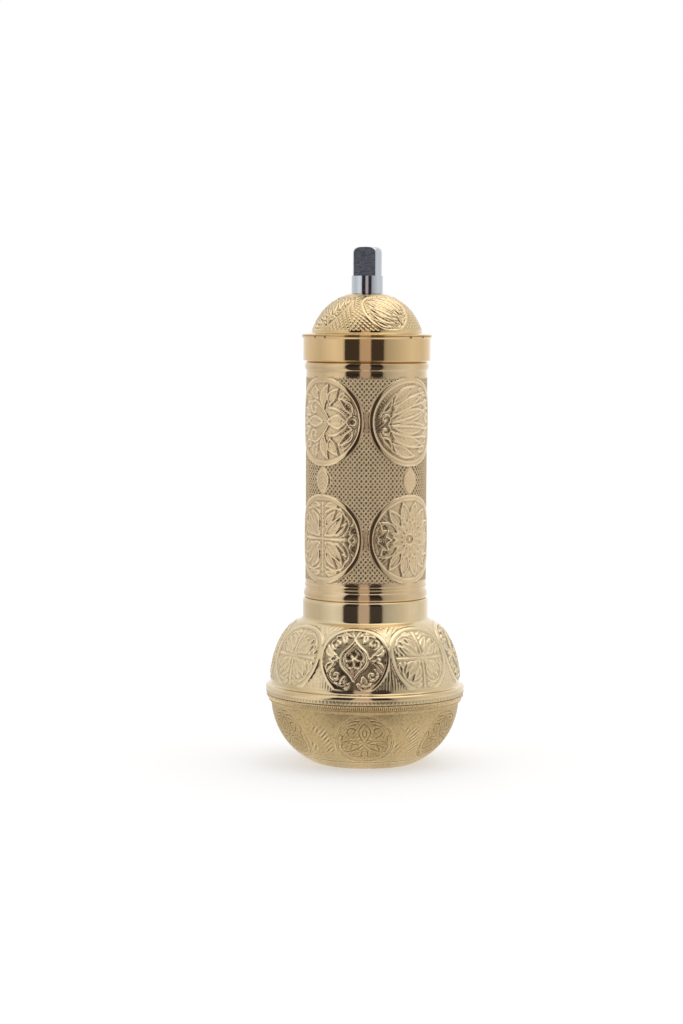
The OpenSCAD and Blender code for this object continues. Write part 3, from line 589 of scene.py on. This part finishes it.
def rosette(u, v, petals=14):
    """Relief on a unit disc: a boss, a wheel of ribbed petals with leaf tips between their ends, and at the left
    a half star of small leaves, which takes the wheel's place."""
    wheels = np.maximum.reduce([
        wheel(u, v, petals, 0, (0.42, 0.6, 0.97), 0.25, 1.2),
        wheel(u, v, petals, np.pi / petals, (0.18, 0.3, 0.52), 0.19, 1.2),
        ring(u, v, (0, 0), 0.15, 0.09), ridge(np.hypot(u, v), 0.06)])
    star = wheel(u + 0.96, v, 10, 0, (0.05, 0.2, 0.4), 0.17)
    return np.where(np.hypot(u + 0.96, v) < 0.42, star, wheels)


def embossed(up, side, motif):
    """Relief of a quarter of the tube, its worked parts and its painted shade, dark in the pits and on the ground
    round the motifs. Up is the height over the roundel's middle, and side is 1 where the next row lies above and -1
    where it lies below. Pits are the peaks of a cosine round the tube times one up it, roundels are a little wider
    than tall, and short ties join them sideways."""
    angle = 2 * np.pi * np.arange(tube_turns // tube_quarters) / tube_turns
    u, v = np.meshgrid((angle - np.pi / tube_quarters) * tube_r, up)
    far, end, link = np.hypot(roundel_wide * u, v), side * v + roundel_r, side * v - roundel_up
    rim = rounded(far, *roundel_rim)
    lens = lens_wide * np.cos(np.clip(np.pi / 2 * link / lens_tall, -1.55, 1.55))
    lens = lens - np.abs(u) - eased(np.abs(link), 4.8, 5.6)
    lens_body = (lens_proud - 0.1 * hatching(u, v, np.where(u > 0, 55, 125), 1.2)) * eased(lens, 0, 0.7)
    tie = (1 - eased(np.abs(v), tie_tall - 0.5, tie_tall)) * (far > roundel_r - 0.9)
    tie_line = ridge(u - np.sign(u) * np.pi / tube_quarters * tube_r + 0.6 * np.sin(np.pi * v / 3.4), 0.35)
    ground = eased(far, roundel_r, roundel_r + 0.3) * eased(np.abs(v), tie_tall, tie_tall + 0.3)
    ground = ground * eased(-lens, 0.35, 0.6) * eased(end, 0.25, 0.55)
    pits = ground * eased(np.cos(pit_across * angle) * np.cos(2 * np.pi * link / pit_up), 0.05, 0.55)
    raised, inside = motif(roundel_wide * u / motif_r, v / motif_r), 1 - eased(far, 13.1, 13.35)
    matted = 0.14 * hatching(u, v, np.where(u * v > 0, 130, 50), 1.1)
    height = (np.maximum(rim, tie_proud * tie) + inside * (motif_proud * np.maximum(raised, matted) - motif_sunk)
              + lens_body - 0.12 * ridge(lens + lens_groove, lens_groove) - pit_deep * pits - tie_cut * tie * tie_line)
    plain = np.maximum(eased(rim, 0.1, 0.3), 0.3 * eased(lens, 0, 0.3))
    worked = 1 - plain + 5 * np.maximum(ground, 0.35 * tie * (1 - plain))
    # The last value is painted shade: dark in the pits, and a little darker on the ground round each motif.
    return height, worked, np.maximum(eased(pits, 0.15, 0.6), 0.2 * inside * (1 - eased(raised, 0.03, 0.3)))


def half_bead(foot, tall, proud, count):
    """A rolled bead on the tube's wall, as an arc of the circle through its foot, its crest and its top."""
    radius = (tall * tall / 4 + proud * proud) / (2 * proud)
    reach = lean(tall / 2, radius)
    return arc((tube_r + proud - radius, foot + tall / 2), radius, -reach, reach, count)


tube_brass = brass("tube_brass", (0.69, 0.525, 0.325), (0.63, 0.465, 0.265), (0.085, 0.055, 0.025), 0.06, 0.2, 1700)


def tube_half(name, below, low, high, above, side, motifs):
    """One half of the tube, with its plain ends, and four quarters of relief in its field from low to high."""
    field = np.stack([np.full(field_rows, tube_r), np.linspace(low, high, field_rows)], 1)
    path = np.concatenate([below, field, above])
    rows = after(below, field)
    first, second = (embossed(field[:, 1] - (tube_middle - side * roundel_up), side, motif) for motif in motifs)
    raised, worked, ground = (np.concatenate([one, two, one, two], 1) for one, two in zip(first, second))
    # Painted shade in hollows, besides that of the pits and ground, and a painted highlight on ridges.
    recess = darkened(0.6 * crevice(raised, 3, 0.2) * (worked < 1.5), ground)
    whole = laid(path, rows, worked)
    whole[path[:, 0] < tube_lip] = 1
    piece = turned(name, path, tube_turns, rows, laid(path, rows, raised),
                   recess=laid(path, rows, recess), worked=whole)
    fitted(piece, tube_brass, "mill", "hopper_tube")


low_ends = np.concatenate([
    [(tube_in, 60), (tube_in, 51.2), (20.55, tube_foot), (20.95, tube_foot),
     (tube_r, 51.1), (tube_r, 54.5), (tube_r, 57.8)],
    half_bead(neck_top, 3.2, 0.55, 17), half_bead(61.833, 1.4, 0.27, 11), [(tube_r, 63.7)]])
tube_half("tube_lower", low_ends, field_low, tube_middle, [(tube_in, tube_middle), (tube_in, 90), (tube_in, 75)], 1,
          (rosette, quartered))
high_ends = np.concatenate([
    [(tube_r, 135.7), (tube_r, 136.5)], half_bead(137.283, 3.0, 0.58, 20),
    [(tube_r, 140.6), (tube_r, 144.5), (tube_r, 148.9), (tube_lip, tube_top),
     (20.6, tube_top), (tube_in, 148.9), (tube_in, 140)]])
tube_half("tube_upper", [(tube_in, 120), (tube_in, tube_middle)], tube_middle, field_high, high_ends, -1,
          (fan, palmette))


# Upper bearing: a three-armed iron spider pressed into the tube, with a brass bush for the shaft. It is cast
# and left rough apart from its bored hub.

iron_grain = (0.25, 0.25, 0.26)


def cast_iron(name, metal, sheen, grain):
    """Dark cast iron: grains by a cell pattern, rust-brown clouds, and a bump of sand-cast lumps."""
    material, tree, place = blank(name)
    cells = node(tree, "TexVoronoi", {"Vector": place, "Scale": grain}, out="Distance")
    cloud = noise(tree, place, 180, 5, 0.65)
    brown = (1.25 * metal[0], 0.95 * metal[1], 0.75 * metal[2])
    tint = tinted(tree, graded(tree, cloud, 0.45, 0.7), metal, brown)
    tint = tinted(tree, graded(tree, cells, 0, 0.6, 0.45, 0), tint, iron_grain)
    lumps = reckoned(tree, "ADD", cells, noise(tree, place, 2.2 * grain, 3))
    metalled(tree, tint, 0.85, graded(tree, cloud, 0.3, 0.7, sheen, sheen + 0.2), lumps, 0.35, 0.0004)
    return material


dressed(cast_iron("spider_iron", (0.12, 0.12, 0.125), 0.5, 900), "upper_spider")
dressed(collar_brass, "spider_bush")


# Burr carrier and burr ring: an iron sleeve in the tube's foot and the toothed ring inside it, held by three
# short screws. The ring is harder, and its teeth are ground brighter.

dressed(cast_iron("carrier_iron", (0.13, 0.13, 0.135), 0.5, 800), "burr_carrier")
burr_iron = cast_iron("burr_iron", (0.2, 0.2, 0.21), 0.34, 1300)
dressed(burr_iron, "burr_ring")


def steel(name, metal, gloss, lines_up):
    """Turned steel: fine tool marks round the axis, by noise stretched along the rings, with a faint straw drift
    in its tint and a little more roughness where the marks are deep."""
    material, tree, place = blank(name)
    marks = noise(tree, place, 1, 4, 0.7, (150, 150, lines_up))
    straw = (1.06 * metal[0], metal[1], 0.9 * metal[2])
    tint = tinted(tree, graded(tree, noise(tree, place, 220, 3), 0.4, 0.75), metal, straw)
    metalled(tree, tint, 1, graded(tree, marks, 0.3, 0.75, gloss, gloss + 0.14), marks, 0.1, 0.0002)
    return material


fastener_steel = steel("fastener_steel", (0.5, 0.51, 0.53), 0.24, 3000)
dressed(fastener_steel, "ring_screws")


# Lower bridge and adjuster: a bent steel strip screwed under the carrier, and in its middle the adjusting
# screw with a brass knob and the ball that the shaft stands on.

dressed(steel("strip_steel", (0.46, 0.47, 0.49), 0.32, 150), "lower_bridge")
dressed(fastener_steel, "bridge_screws", "adjusting_screw")
dressed(steel("ball_steel", (0.58, 0.59, 0.61), 0.08, 200), "thrust_ball")
knob_brass = brass("knob_brass", (0.66, 0.47, 0.24), (0.6, 0.41, 0.19), (0.17, 0.11, 0.05), 0.2, 0.3, 1200)
dressed(knob_brass, "adjusting_knob")


# Drive shaft: plated steel, turned to a bright finish. Its end has two milled flats for the crank, with a
# rough dark grey surface, and they are turned a little to the left of the front. Sizes are in metres.

flat_normal, flat_starts, flat_full = (-0.309, -0.951, 0.0), 0.00322, 0.00328
flat_foot, flat_above = 0.17005, 0.17012


def plated_steel(name, metal, milled_grey):
    """Bright plated steel, and dark on the flats: those are where the distance along their common normal
    reaches 3.3 mm above the height of their foot. The flats carry short marks across, the rest fine rings."""
    material, tree, place = blank(name)
    reach = node(tree, "VectorMath", {0: place, 1: flat_normal}, "Value", operation="DOT_PRODUCT")
    reach = node(tree, "Math", {0: reach}, operation="ABSOLUTE")
    rise = node(tree, "SeparateXYZ", {0: place}, "Z")
    flat = reckoned(tree, "MULTIPLY", graded(tree, reach, flat_starts, flat_full),
                    graded(tree, rise, flat_foot, flat_above))
    rings = noise(tree, place, 1, 3, 0.5, (80, 80, 4000))
    marks = noise(tree, place, 1900, 4, 0.7, (0.3, 0.3, 1))
    grey = tinted(tree, graded(tree, marks, 0.4, 0.7), milled_grey, tuple(2.2 * own for own in milled_grey))
    rough = node(tree, "Mix", {
        0: flat, 2: graded(tree, rings, 0.3, 0.7, 0.08, 0.16), 3: graded(tree, marks, 0.3, 0.7, 0.4, 0.65)})
    bumps = node(tree, "Mix", {0: flat, 2: graded(tree, rings, 0, 1, 0, 0.1), 3: marks})
    metalled(tree, tinted(tree, flat, metal, grey), 1, rough, bumps, 0.4, 0.0003)
    return material


dressed(plated_steel("plated_steel", (0.56, 0.6, 0.64), (0.13, 0.135, 0.165)), "drive_shaft")


# Grinding cone: a toothed iron cone on the shaft's foot, of the same hard iron as the burr ring. A cross pin
# drives it, and a washer and a nut hold it.

dressed(burr_iron, "grinding_cone")
dressed(fastener_steel, "drive_pin", "cone_washer", "cone_nut")


# Return spring with its washer and clip: a coil of dark steel wire between the spider and the washer, which
# keeps the shaft down on its ball.

coil_r, coil_top, coil_tall, coil_turns, wire_r = 5.6, 130.78, 20.0, 7, 0.45
coil_rings, coil_sides = 281, 12

# The wire is a circle of radius w carried up a helix: r = R + w cos b, and z = rise + w sin b, closed at both ends.
coil_share = np.linspace(0, 1, coil_rings)[:, None]
coil_side = 2 * np.pi * np.arange(coil_sides) / coil_sides
coil_out = coil_r + wire_r * np.cos(coil_side)
coil_turn = 2 * np.pi * coil_turns * coil_share
coil_level = coil_top - coil_tall + wire_r + (coil_tall - 2 * wire_r) * coil_share + wire_r * np.sin(coil_side)
coil_points = np.stack([coil_out * np.cos(coil_turn), coil_out * np.sin(coil_turn), coil_level], -1)
coil_grid = np.arange(coil_rings * coil_sides).reshape(coil_rings, coil_sides)
coil_next = np.roll(coil_grid, -1, 1)
coil_faces = np.stack([coil_grid[:-1], coil_grid[1:], coil_next[1:], coil_next[:-1]], -1).reshape(-1, 4).tolist()
coil_faces += [coil_grid[0].tolist(), coil_grid[-1, ::-1].tolist()]
coil = meshed("coil", coil_points.reshape(-1, 3), coil_faces)
spring_steel = steel("spring_steel", (0.3, 0.3, 0.32), 0.25, 300)
coil.data.materials.append(spring_steel)
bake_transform(coil)
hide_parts("return_spring")
dressed(fastener_steel, "spring_washer")
dressed(spring_steel, "spring_clip")


# Lid dome: pressed brass with a narrow brim and a hole for the shaft. Four leafy roundels are embossed round
# it, with crossed hatching in the corners between them.

dome_centre, dome_r, dome_wall, dome_foot_r, dome_hole = 144.54, 20.29, 0.7, 19.45, 5.675
brim_r, brim_z = 22.8, 149.133
dome_turns, dome_roundels, dome_facing = 720, 4, np.radians(27)
dome_roundel_r, dome_roundel_up, dome_hole_up = 8.0, 9.3, 18.2
dome_rim = (8.5, 0.25, 0.04, 0.04, 8.5)
# The last number of this row and of the next set how dark the painted shade is on the sunk ground and in the hatching.
dome_proud, dome_sunk, dome_painted_shade = 0.36, 0.18, 0.3
dome_hatch_deep, dome_hatch_pitch, dome_hatch_shade = 0.15, 1.3, 0.5


def leafy(u, v):
    """Relief on a unit disc, alike on both sides of a line that falls to the right: long ribbed leaves sweep from
    the upper left to the lower right, and short ones stand off them, on a ground of fine slanted lines."""
    a, b = 0.78 * u - 0.62 * v, np.abs(0.62 * u + 0.78 * v)
    return np.maximum.reduce([
        drawn(leaf, a, b, [
            ((-0.86, 0.02), (-0.2, 0.26), (0.52, 0.04), 0.2), ((-0.72, 0.28), (-0.1, 0.5), (0.6, 0.2), 0.2),
            ((-0.5, 0.56), (0.0, 0.76), (0.56, 0.46), 0.2), ((-0.2, 0.84), (0.16, 0.94), (0.5, 0.72), 0.16),
            ((0.56, 0.06), (0.8, 0.02), (0.93, 0.2), 0.18), ((0.62, 0.34), (0.84, 0.3), (0.8, 0.52), 0.16)]),
        stem(a, b, bow((-0.92, 0.2), (-0.8, 0.5), (-0.56, 0.72)), 0.06), 0.3 * hatching(u, v, 50, 0.11)])


dome_low = np.degrees(np.arccos(dome_foot_r / dome_r))
dome_high = np.degrees(np.arccos(dome_hole / dome_r))
dome_side = even(arc((0, dome_centre), dome_r, dome_low, dome_high, 300), 0.21)
dome_inner_r = dome_r - dome_wall
dome_inner = arc((0, dome_centre), dome_inner_r, np.degrees(np.arccos(dome_hole / dome_inner_r)),
                 lean(brim_z - dome_centre, dome_inner_r), 16)
dome_brim = softened([
    (20.5, brim_z), (brim_r - 0.3, brim_z), (brim_r, 149.43), (brim_r, 149.733), (19.75, 150.28)], 0.12)
dome_path = np.concatenate([dome_brim, dome_side, dome_inner])
dome_rows = after(dome_brim, dome_side)
dome_run = np.linspace(0, 1, len(dome_side))[:, None] * np.radians(dome_high - dome_low) * dome_r
dome_u, dome_v, dome_far = round_middle(dome_side, dome_run, dome_turns, dome_roundels, dome_roundel_up)
dome_zone = eased(dome_run, 0.7, 1.3) * (1 - eased(dome_run, 16.6, 17.2))
dome_within = 1 - eased(dome_far, 7.9, 8.1)
dome_crossed = eased(dome_far, 9.0, 9.3) * dome_zone * np.maximum(
    hatching(dome_u, dome_v, 40, dome_hatch_pitch), 0.6 * hatching(dome_u, dome_v, 140, dome_hatch_pitch))
dome_leaves = leafy(dome_u / dome_roundel_r, dome_v / dome_roundel_r)
dome_relief = (rounded(dome_far, *dome_rim) + dome_within * (dome_proud * dome_leaves - dome_sunk)
               - dome_hatch_deep * dome_crossed)
dome_relief = np.tile(dome_relief * dome_zone + 0.1 * ridge(dome_run - dome_hole_up, 0.4), (1, dome_roundels))
# Painted shade on the ground round the leaves and in the crossed hatching.
dome_ground = dome_painted_shade * dome_within * (1 - eased(dome_leaves, 0.03, 0.4)) * dome_zone
dome_ground = np.tile(np.maximum(dome_ground, dome_hatch_shade * dome_crossed), (1, dome_roundels))
dome_worked = laid(dome_path, dome_rows, dome_zone)
dome_worked[dome_rows.stop :] = 1
lid_brass = brass("lid_brass", (0.7, 0.52, 0.275), (0.65, 0.46, 0.225), (0.2, 0.125, 0.05), 0.06, 0.12, 1700)
# Painted shade in hollows and a painted highlight on ridges, through recess.
dome_recess = laid(dome_path, dome_rows, darkened(crevice(dome_relief, 3, 0.17), dome_ground))
dome = turned("dome", dome_path, dome_turns, dome_rows, laid(dome_path, dome_rows, dome_relief),
              dome_facing - np.pi / dome_roundels, recess=dome_recess, worked=dome_worked)
fitted(dome, lid_brass, "lid", "lid_dome")


# Lid skirt: a polished brass ring, flared at the top where the dome's brim is soldered on. A few dark beads
# of solder have run out of the joint.

skirt_in, skirt_r, skirt_foot, skirt_turns = 21.45, 22.2, 140.633, 720
solder_at = np.radians([-51.5, -39.0, 41.3, 57.7, 118.0, 171.0, 236.0])
solder_z, solder_proud, solder_wide, solder_tall = 148.9, 0.22, 0.45, 0.3

skirt_path = softened([
    (skirt_in, 144.5), (skirt_in, skirt_foot + 0.2), (skirt_in + 0.25, skirt_foot), (skirt_r - 0.25, skirt_foot),
    (skirt_r, skirt_foot + 0.25), (skirt_r, 148.23), (brim_r, 148.83), (brim_r, brim_z), (skirt_in, brim_z),
    (skirt_in, 144.5)], 0.08)[:-1]
skirt_angle = 2 * np.pi * np.arange(skirt_turns) / skirt_turns
skirt_gap = (skirt_angle[:, None] - solder_at + np.pi) % (2 * np.pi) - np.pi
skirt_lump = np.exp(-((skirt_gap * skirt_r / solder_wide) ** 2)).max(1) * (skirt_path[:, :1] > skirt_r - 0.2)
skirt_lump = skirt_lump * np.exp(-(((skirt_path[:, 1:] - solder_z) / solder_tall) ** 2))
skirt_brass = brass("skirt_brass", (0.7, 0.5, 0.26), (0.68, 0.47, 0.235), (0.05, 0.035, 0.02), 0.05, 0.2, 1400)
skirt = turned("skirt", skirt_path, skirt_turns, height=solder_proud * skirt_lump,
               recess=np.clip(1.6 * skirt_lump, 0, 1), worked=skirt_lump)
fitted(skirt, skirt_brass, "lid", "lid_skirt")


# Studio: a white floor and a white tent all round, brightest overhead and behind at the right. Two tall dark
# flags stand on either side of the camera, which polished metal shows as two dark upright bands. The floor is
# sized in millimetres, and the camera is placed in metres.

tent_light = 1.6
flag_dark, flag_between = (0.024, 0.019, 0.021), (0.4, 0.335, 0.32)
tent_stops = [
    (-180, 0.66), (-140, 0.58), (-115, 0.54), (-92, 0.49), (-72, 0.61), (-60, 0.67), (-45, 0.61), (-41, 0.42),
    (-39.5, flag_dark), (-13.6, flag_dark), (-12, flag_between), (6.4, flag_between), (8, flag_dark), (29.5, flag_dark),
    (31.8, 0.26), (37, 0.34), (60, 0.46), (90, 0.6), (120, 0.54), (155, 0.68), (180, 0.7)]
white, overhead_left, overhead_right, underfoot = (1, 1, 1), (0.64, 0.64, 0.64), (1.2, 1.2, 1.2), (0.74, 0.72, 0.68)
floor_reach, floor_z, floor_grey, floor_lift = 4000, -0.1, (0.6, 0.6, 0.6), 0.45
camera_away, camera_up, camera_tilt, camera_yaw, camera_roll = 0.9, 0.155, 4.28, 0.545, 0.3
camera_lens, camera_sensor = 90.6, 36.0


def tent(tree, east, north):
    """The tent's light towards a point, by stops over the angle atan2(east, -north) from the camera's side: grey
    levels, and the colours of the flags and of the gap between them."""
    south = reckoned(tree, "MULTIPLY", north, -1.0)
    angle = node(tree, "Math", {0: reckoned(tree, "ARCTAN2", east, south)}, operation="DEGREES")
    made = tree.nodes.new("ShaderNodeValToRGB")
    stops = made.color_ramp.elements
    for degrees, _ in tent_stops[1:-1]:
        stops.new((degrees + 180) / 360)
    for stop, (_, level) in zip(stops, tent_stops):
        stop.color = (*np.broadcast_to(level, 3), 1)
    tree.links.new(graded(tree, angle, -180, 180), made.inputs[0])
    return made.outputs[0]


scene = bpy.context.scene
world = bpy.data.worlds.new("studio")
scene.world = world
world.use_nodes = True
tree = world.node_tree
tree.nodes.clear()
towards = node(tree, "TexCoord", out="Generated")
east, north, up = (node(tree, "SeparateXYZ", {0: towards}, axis) for axis in "XYZ")
overhead = tinted(tree, graded(tree, east, -0.4, 0.5), overhead_left, overhead_right)
sky = tinted(tree, graded(tree, up, 0.66, 0.96, 0, 1, "SMOOTHSTEP"), tent(tree, east, north), overhead)
seen = node(tree, "LightPath", out="Is Camera Ray")
node(tree, "OutputWorld", {"Surface": node(tree, "Background", {
    "Color": tinted(tree, seen, sky, white), "Strength": graded(tree, seen, 0, 1, tent_light, 1)})})

floor_white, tree, place = blank("floor_white")
east, north = (node(tree, "SeparateXYZ", {0: place}, axis) for axis in "XY")
away = node(tree, "VectorMath", {0: place}, "Value", operation="LENGTH")
# In reflections the floor glows with a painted copy of the tent's light, with painted shade near the object and at its
# near left; to the camera it is plain white.
dimmed = reckoned(tree, "MULTIPLY", graded(tree, east, 0.1, -0.3, 0, 0.12), graded(tree, away, 0.5, 2, 1, 0))
mirrored = node(tree, "Emission", {
    "Color": tinted(tree, graded(tree, away, 0.05, 0.105, 0.2, 0.97), underfoot, tent(tree, east, north)),
    "Strength": graded(tree, dimmed, 0, 1, tent_light, 0)})
seen, glossed = (node(tree, "LightPath", out=ray) for ray in ("Is Camera Ray", "Is Glossy Ray"))
lift = node(tree, "Emission", {"Color": white, "Strength": graded(tree, seen, 0, 1, 0, floor_lift)})
matt = node(tree, "AddShader", {0: node(tree, "BsdfDiffuse", {"Color": floor_grey}), 1: lift})
node(tree, "OutputMaterial", {"Surface": node(tree, "MixShader", {0: glossed, 1: matt, 2: mirrored})})
floor_corners = floor_reach * np.array([(-1, -1, 0), (1, -1, 0), (1, 1, 0), (-1, 1, 0)]) + (0, 0, floor_z)
floor = meshed("floor", floor_corners, [(0, 1, 2, 3)])
floor.data.materials.append(floor_white)

camera = bpy.data.objects.new("camera", bpy.data.cameras.new("camera"))
scene.collection.objects.link(camera)
camera.data.lens = camera_lens
camera.data.sensor_width = camera_sensor
camera.location = (0, -camera_away, camera_up)
aim = Euler((np.radians(90 - camera_tilt), 0, np.radians(camera_yaw))).to_matrix()
camera.rotation_euler = (aim @ Matrix.Rotation(np.radians(camera_roll), 3, "Z")).to_euler()
scene.camera = camera
scene.view_settings.view_transform = "Standard"
